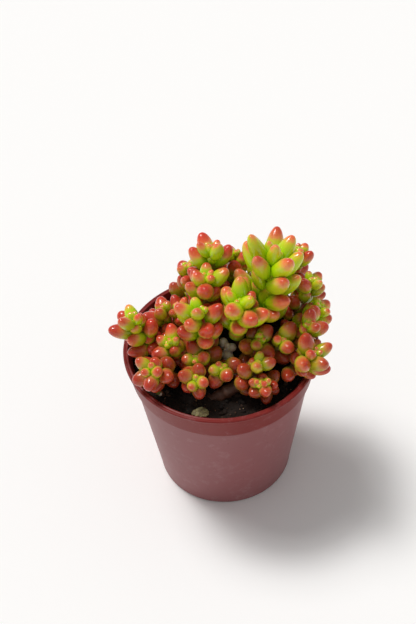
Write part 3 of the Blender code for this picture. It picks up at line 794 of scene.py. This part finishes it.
def plain_finish(name, first, second, scale, roughness, bump=0.3, subsurface=0.0):
    """A finish that wanders between two colours."""
    g = Graph(name, Roughness=roughness, **flesh(subsurface, (1.0, 0.7, 0.4)))
    grain = g.noise(scale, 4.0, 0.6)
    g.set("Base Color", g.mix(g.ease(grain, 0.35, 0.65), first, second))
    g.bump(grain, bump, 0.0002)
    return g.material


# ---- looks: pot, soil and withered leaf ----

# The rim's fine groove, the slight oval of the moulding, and the torn flash at the rim's front right.
RIM_GROOVE = 0.16
OVAL = 0.0012
FLASH_FROM, FLASH_TO = math.radians(-72), math.radians(-38)
FLASH_DEPTH = 0.22
FLASH_SEED = 3.0

# The peat's crumbled top, and what lies loose on it: number, sizes and random seed of each kind.
SOIL_REACH = wall_radius(SOIL_LEVEL) - WALL
SOIL_RINGS = 70
SOIL_SIDES = 200
SOIL_ROUGH = 0.55
SOIL_SIDE = 6.0
CRUMBS, CRUMB_SIZES, CRUMB_SEED = 1300, (0.22, 1.15), 5
GRIT, GRIT_SIZES, GRIT_SEED = 46, (0.14, 0.5), 8
FLATNESS = 0.7
SHORE = 0.5
FIBRES, FIBRE_SEED = 60, 41
FIBRE_SHORE = 1.5


def arc(centre, radius, first, last, steps):
    """Points of a round corner in (radius, height), from one angle in degrees to another."""
    angles = np.radians(np.linspace(first, last, steps))
    return [(centre[0] + radius * math.cos(a), centre[1] + radius * math.sin(a)) for a in angles]


def pot_profile():
    """The pot's outline in (radius, height), from its axis out along the foot, up and back inside."""
    collar_foot = POT_HEIGHT - COLLAR_HEIGHT
    collar_radius = wall_radius(collar_foot) + COLLAR_STEP
    inside_floor = FOOT_HEIGHT + WALL
    ring = BASE_RADIUS - FOOT_WIDTH
    profile = [(0, FOOT_HEIGHT), (ring * 0.5, FOOT_HEIGHT), (ring - 0.9, FOOT_HEIGHT)]
    profile += [(ring - 0.5, FOOT_HEIGHT - 0.15), (ring - 0.15, 0.4), (ring + 0.1, 0.08)]
    profile += [(ring + 0.35, 0), (BASE_RADIUS - 0.5, 0)]
    profile += arc((BASE_RADIUS - 0.35, 0.5), 0.5, -80, -5, 5)
    for height in np.linspace(2, collar_foot - 1.2, 14):
        profile.append((wall_radius(height), height))
    profile += [(wall_radius(collar_foot - 0.3), collar_foot - 0.5)]
    profile += [(wall_radius(collar_foot) + 0.12, collar_foot - 0.28)]
    profile += [(collar_radius - 0.16, collar_foot - 0.08), (collar_radius, collar_foot + 0.2)]
    neck = (RIM_RADIUS - LIP * 0.9, POT_HEIGHT - 2.4 * LIP)
    for share in np.linspace(0.1, 0.95, 8):
        radius = collar_radius + (neck[0] - collar_radius) * share
        profile.append((radius, collar_foot + (neck[1] - collar_foot) * share))
    profile += [neck] + arc((RIM_RADIUS - LIP, POT_HEIGHT - LIP), LIP, -50, 90, 9)
    groove = POT_HEIGHT - RIM_GROOVE
    profile += [(RIM_RADIUS - 0.78, groove), (RIM_RADIUS - 1.02, groove)]
    profile += arc((RIM_RADIUS - INNER_LIP + 0.3, POT_HEIGHT - 0.3), 0.3, 80, 180, 6)
    for height in np.linspace(POT_HEIGHT - 1.2, inside_floor + 0.8, 12):
        profile.append((wall_radius(height) - WALL, height))
    corner = wall_radius(inside_floor) - WALL
    profile += [(corner - 0.2, inside_floor + 0.2), (corner - 0.9, inside_floor)]
    return profile + [(8.0, inside_floor), (0, inside_floor)]


def ragged(turn, height):
    """How far the moulding's torn flash pushes the lip out at a place round it."""
    if not FLASH_FROM < turn < FLASH_TO or height < POT_HEIGHT - 2.2 * LIP:
        return 0.0
    share = (turn - FLASH_FROM) / (FLASH_TO - FLASH_FROM)
    rough = noise.noise(Vector((turn * 60, height * 2.5, FLASH_SEED)))
    return FLASH_DEPTH * math.sin(math.pi * share) * (0.3 + rough)


def drain_cutter(spot):
    """An upright peg, in metres, that stands through the pot's floor at a place."""
    shape = bmesh.new()
    bmesh.ops.create_cone(
        shape,
        cap_ends=True,
        segments=32,
        radius1=DRAIN_RADIUS * MM,
        radius2=DRAIN_RADIUS * MM,
        depth=4 * MM,
        matrix=Matrix.Translation((spot[0] * MM, spot[1] * MM, (FOOT_HEIGHT + WALL / 2) * MM)),
    )
    mesh = bpy.data.meshes.new("drain")
    shape.to_mesh(mesh)
    shape.free()
    return bpy.data.objects.new("drain", mesh)


def cut_drains(pot):
    """Cuts a drain hole in the middle of the pot's floor and a ring of them round it."""
    spots = [(0.0, 0.0)]
    for i in range(DRAIN_HOLES):
        angle = math.tau * i / DRAIN_HOLES
        spots.append((DRAIN_RING * math.cos(angle), DRAIN_RING * math.sin(angle)))
    drains = bpy.data.collections.new("drains")
    bpy.context.scene.collection.children.link(drains)
    for spot in spots:
        drains.objects.link(drain_cutter(spot))
    cut = pot.modifiers.new("drains", "BOOLEAN")
    cut.operation = "DIFFERENCE"
    cut.operand_type = "COLLECTION"
    cut.collection = drains
    graph = bpy.context.evaluated_depsgraph_get()
    mesh = bpy.data.meshes.new_from_object(pot.evaluated_get(graph))
    pot.modifiers.clear()
    pot.data = mesh
    for tool in list(drains.objects):
        bpy.data.objects.remove(tool)
    bpy.data.collections.remove(drains)


def make_fine_pot(material):
    """The pot as a smooth turned cup with its drain holes cut."""
    profile = pot_profile()
    points = []
    for radius, height in profile[1:-1]:
        for step in range(POT_STEPS):
            turn = math.tau * step / POT_STEPS - math.pi
            wide = radius * (1 + OVAL * math.sin(2 * turn + 0.6)) + ragged(turn, height)
            points.append((wide * math.cos(turn), wide * math.sin(turn), height))
    low, high = len(points), len(points) + 1
    points += [(0, 0, profile[0][1]), (0, 0, profile[-1][1])]
    faces = tube_faces(len(profile) - 2, POT_STEPS, 0, low, high)
    pot = mesh_object("pot_body", points, faces, material)
    cut_drains(pot)
    pot.data.shade_smooth()
    pot.data.set_sharp_from_angle(angle=math.radians(50))
    return pot


def soil_surface(x, y):
    """The height of the soil at a place: its long ripples, with crumbled clods on top."""
    clods = noise.fractal(Vector((x * 0.55, y * 0.55, 1.7)), 0.9, 2.1, 5)
    return float(soil_height_at(np.array((x, y, 0.0)))) + SOIL_ROUGH * clods


def make_fine_soil(material):
    """The peat as a plug with a crumbled top that meets the pot's wall."""
    top_radius = SOIL_REACH - 0.04
    rings = [(top_radius * ring / SOIL_RINGS, None) for ring in range(1, SOIL_RINGS + 1)]
    floor = FOOT_HEIGHT + WALL + SOIL_GAP
    for height, gap in ((SOIL_LEVEL - SOIL_SIDE, 0.1), (floor, 1.0)):
        rings.append((wall_radius(height) - WALL - gap, height))
    points = []
    for radius, height in rings:
        for side in range(SOIL_SIDES):
            turn = math.tau * side / SOIL_SIDES
            x, y = radius * math.cos(turn), radius * math.sin(turn)
            points.append((x, y, soil_surface(x, y) if height is None else height))
    middle, foot = len(points), len(points) + 1
    points += [(0, 0, soil_surface(0, 0)), (0, 0, floor)]
    faces = [face[::-1] for face in tube_faces(SOIL_RINGS + 2, SOIL_SIDES, 0, middle, foot)]
    return mesh_object("peat", points, faces, material)


def ball_shape(detail):
    """Points and faces of a ball of radius 1."""
    shape = bmesh.new()
    bmesh.ops.create_icosphere(shape, subdivisions=detail, radius=1.0)
    points = np.array([tuple(vert.co) for vert in shape.verts])
    faces = [tuple(vert.index for vert in face.verts) for face in shape.faces]
    shape.free()
    return points, faces


def anywhere(rng, reach):
    """A place on the soil, (x, y), as likely here as there."""
    turn, radius = rng.uniform(0, math.tau), reach * math.sqrt(rng.random())
    return radius * math.cos(turn), radius * math.sin(turn)


def scatter(name, count, sizes, seed, material):
    """Loose lumps strewn over the soil as one piece, each turned, squashed and dented its own way."""
    rng = random.Random(seed)
    ball, ball_faces = ball_shape(1)
    points, faces, tint = [], [], []
    for i in range(count):
        x, y = anywhere(rng, SOIL_REACH - SHORE)
        size = sizes[0] * (sizes[1] / sizes[0]) ** (rng.random() ** 2)
        own = Vector((i * 3.7, 0, 0))
        dents = np.array([1 + 0.35 * noise.noise(Vector(p) * 1.3 + own) for p in ball])
        spin = Matrix.Rotation(rng.uniform(0, math.tau), 3, "Z")
        spin = spin @ Matrix.Rotation(rng.uniform(-0.6, 0.6), 3, "X")
        wide, deep = rng.uniform(0.7, 1.5), rng.uniform(0.6, 1.1)
        stretch = np.array((wide, deep, FLATNESS * rng.uniform(0.7, 1.2)))
        lump = (ball * dents[:, None] * stretch * size) @ np.array(spin).T
        place = np.array((x, y, soil_surface(x, y) + 0.25 * size * FLATNESS))
        faces += [tuple(index + len(points) * len(ball) for index in face) for face in ball_faces]
        points.append(lump + place)
        tint += [rng.uniform(0, 1)] * len(ball)
    return mesh_object(name, np.vstack(points), faces, material, {"tint": tint})


def make_fibres(material):
    """Fine roots and peat fibres that lie on the soil, as thin tapered tubes."""
    rng = random.Random(FIBRE_SEED)
    reach = SOIL_REACH - FIBRE_SHORE
    rows, sides = 9, 5
    points, faces = [], []
    for _ in range(FIBRES):
        x, y = anywhere(rng, reach)
        heading, curl = rng.uniform(0, math.tau), rng.uniform(-0.35, 0.35)
        step, thick = rng.uniform(0.25, 0.75), rng.uniform(0.05, 0.13)
        lift = rng.uniform(0.0, 0.5)
        first = len(points)
        for row in range(rows):
            x, y = x + step * math.cos(heading), y + step * math.sin(heading)
            if math.hypot(x, y) > reach:
                heading += math.pi / 2
            height = soil_surface(x, y) + thick + lift * math.sin(math.pi * row / (rows - 1))
            aside = np.array((-math.sin(heading), math.cos(heading), 0))
            slim = thick * (1 - 0.8 * (row / (rows - 1)) ** 2)
            for side in range(sides):
                angle = math.tau * side / sides
                lifted = np.array((0, 0, math.sin(angle)))
                points.append(np.array((x, y, height)) + slim * (math.cos(angle) * aside + lifted))
            heading += curl
        low, high = len(points), len(points) + 1
        points += [sum(points[first : first + sides]) / sides, sum(points[-sides:]) / sides]
        faces += tube_faces(rows, sides, first, low, high)
    return mesh_object("fibres", points, faces, material)


def make_fine_dry_leaf(material):
    """The withered leaf: flat, wrinkled and curled at its edges."""
    length, width, thickness = (size / 2 for size in DRY_LEAF)
    ball, ball_faces = ball_shape(5)
    x, y = ball[:, 0] * length, ball[:, 1] * width * (1 + DRY_LEAF_FLARE * ball[:, 0])
    places = [Vector((a * 0.9, b * 2.2, 4.0)) for a, b in zip(x, y)]
    wrinkle = np.array([noise.fractal(place, 0.8, 2.0, 4) for place in places])
    curl = 0.10 * (y / width) ** 2
    z = ball[:, 2] * thickness * 0.8 + DRY_LEAF_ARCH * (1 - ball[:, 0] ** 2) + 0.35 * wrinkle + curl
    points = np.column_stack((x + DRY_LEAF_PLACE[0], y + DRY_LEAF_PLACE[1], z))
    points[:, 2] += (soil_height_at(points) - points[:, 2]).max() + DRY_LEAF_LIFT
    return mesh_object("withered_leaf", points, ball_faces, material)


# ---- looks: camera, light and floor ----

# Daylight from the upper left and behind, as two suns: name, strength and how wide it is, in degrees.
LIGHT_FALLS = (0.36, -0.28, -0.89)
SUNS = (("window", 1.6, 26), ("lamp", 0.8, 12))
SUN_COLOUR = (1.0, 0.985, 0.965)

# The studio's walls are white near the horizon and dimmer above.
STUDIO_COLOUR = (1.0, 0.995, 0.985, 1.0)
HORIZON = {"From Min": 0.08, "From Max": 0.2, "To Min": 0.95, "To Max": 0.36}

# The floor, in metres.
FLOOR_REACH = 40.0
FLOOR_DROP = 0.0002


def make_camera():
    """Looks down on the pot's rim from the front."""
    data = bpy.data.cameras.new("camera")
    data.sensor_fit = "VERTICAL"
    data.sensor_height = SENSOR
    data.lens = FOCAL_PIXELS * SENSOR / FRAME_HEIGHT
    data.shift_x, data.shift_y = (pixels / FRAME_HEIGHT for pixels in SHIFT_PIXELS)
    data.clip_start = 0.01
    ahead = Vector((0, math.cos(CAMERA_ELEVATION), -math.sin(CAMERA_ELEVATION)))
    side, top = Vector((1, 0, 0)), Vector((0, math.sin(CAMERA_ELEVATION), math.cos(CAMERA_ELEVATION)))
    turned_side = side * math.cos(CAMERA_ROLL) - top * math.sin(CAMERA_ROLL)
    turned_top = side * math.sin(CAMERA_ROLL) + top * math.cos(CAMERA_ROLL)
    camera = bpy.data.objects.new("camera", data)
    camera.matrix_world = Matrix((turned_side, turned_top, -ahead)).transposed().to_4x4()
    camera.location = Vector((0, 0, POT_HEIGHT * MM)) - ahead * CAMERA_DISTANCE
    bpy.context.scene.collection.objects.link(camera)
    bpy.context.scene.camera = camera


def make_light():
    """Soft light from all round, and suns that fall from one side."""
    world = bpy.data.worlds.new("studio")
    world.use_nodes = True
    background = world.node_tree.nodes["Background"]
    background.inputs["Color"].default_value = STUDIO_COLOUR
    links, nodes = world.node_tree.links, world.node_tree.nodes
    height = nodes.new("ShaderNodeSeparateXYZ")
    links.new(nodes.new("ShaderNodeTexCoord").outputs["Generated"], height.inputs[0])
    fade = nodes.new("ShaderNodeMapRange")
    for label, value in HORIZON.items():
        fade.inputs[label].default_value = value
    links.new(height.outputs["Z"], fade.inputs["Value"])
    links.new(fade.outputs[0], background.inputs["Strength"])
    bpy.context.scene.world = world
    for name, energy, angle in SUNS:
        data = bpy.data.lights.new(name, "SUN")
        data.energy, data.angle, data.color = energy, math.radians(angle), SUN_COLOUR
        light = bpy.data.objects.new(name, data)
        light.rotation_euler = Vector(LIGHT_FALLS).to_track_quat("-Z", "Y").to_euler()
        bpy.context.scene.collection.objects.link(light)
    bpy.context.scene.view_settings.view_transform = "Standard"


def make_floor():
    """A plain white floor, just under the pot's foot."""
    mesh = bpy.data.meshes.new("floor")
    corners = [(x * FLOOR_REACH, y * FLOOR_REACH, 0) for x, y in ((-1, -1), (1, -1), (1, 1), (-1, 1))]
    mesh.from_pydata(corners, [], [(0, 1, 2, 3)])
    floor = bpy.data.objects.new("floor", mesh)
    bpy.context.scene.collection.objects.link(floor)
    white = Graph("floor_white", Base_Color=(0.94, 0.94, 0.94), Roughness=0.9)
    floor.data.materials.append(white.material)
    floor.location.z = -FLOOR_DROP


# ---- the whole ----

# Each leafy stem's blush, which is how far down the leaves the red runs, and how bronze they are.
LOOKS = {
    "crown": (0.2, 0.05), "crown_front": (0.22, 0.1), "upper_left": (0.36, 0.12),
    "middle_back": (0.38, 0.2), "middle": (0.38, 0.18), "far_left": (0.42, 0.22),
    "left_back": (0.44, 0.38), "left_front": (0.34, 0.42), "left_inner": (0.46, 0.4),
    "rim_left": (0.48, 0.72), "front_left": (0.44, 0.8), "middle_low": (0.34, 0.75),
    "front_middle": (0.34, 0.8), "front_inner": (0.4, 0.8), "front_right": (0.42, 0.82),
    "soil_front": (0.34, 0.62), "right_front": (0.46, 0.78), "rim_right": (0.4, 0.5),
    "right_middle": (0.42, 0.38), "right_back": (0.24, 0.2), "right_upper": (0.36, 0.32),
    "top_right": (0.44, 0.35), "top_middle": (0.44, 0.35), "top_left": (0.5, 0.38),
    "back_middle": (0.28, 0.25), "back_left": (0.4, 0.4), "back_right": (0.4, 0.4),
    "rim_back": (0.4, 0.4), "rim_back_left": (0.6, 0.45), "pale": (0.2, 0.2), "tiny": (0.3, 0.2),
}


def dress(piece, slot, *nodes):
    """A piece rides with the pot and stands for its nodes. The slot is not used."""
    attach(piece, ROOT)
    if nodes:
        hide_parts(*nodes)


def make_plant():
    """Every leafy stem, as one piece for its leaves and one for its stem."""
    finishes = {tone: leaf_finish(f"leaf_{tone}") for tone in ("green", "bronze")}
    cream, blush = srgb(236, 222, 200), srgb(214, 190, 172)
    finishes["pale"] = plain_finish("leaf_pale", cream, blush, 500, 0.4, 0.2, 0.3)
    bark = stem_finish()
    grown, room = grow(SHOOTS)
    fill_in(SHOOTS, grown, room)
    for shoot in SHOOTS:
        slot = f"leaf_{shoot.tone}"
        leaves = make_leaves(shoot, grown[shoot.name], finishes[shoot.tone], LOOKS[shoot.name])
        dress(leaves, slot, f"leafy_stem_{shoot.name}")
        dress(make_stem(shoot, bark), slot)


def make_pot_and_soil():
    """The pot, the peat in it, and what lies loose on the peat."""
    dress(make_fine_pot(pot_finish()), "pot_plastic", "pot")
    dress(make_fine_soil(soil_finish("peat", srgb(16, 12, 10), srgb(42, 31, 25), 0.8)), "soil", "soil")
    dress(scatter("crumbs", CRUMBS, CRUMB_SIZES, CRUMB_SEED, crumb_finish()), "soil")
    grit = plain_finish("grit", srgb(190, 160, 130), srgb(140, 104, 82), 1500, 0.75)
    dress(scatter("grit", GRIT, GRIT_SIZES, GRIT_SEED, grit), "soil")
    dress(make_fibres(plain_finish("fibre", srgb(70, 48, 34), srgb(36, 25, 19), 900, 0.8)), "soil")
    withered = plain_finish("withered_leaf", srgb(150, 142, 96), srgb(104, 92, 58), 700, 0.6, 0.5, 0.1)
    dress(make_fine_dry_leaf(withered), "dry_leaf", "dry_leaf")


make_camera()
make_light()
make_floor()
make_pot_and_soil()
make_plant()
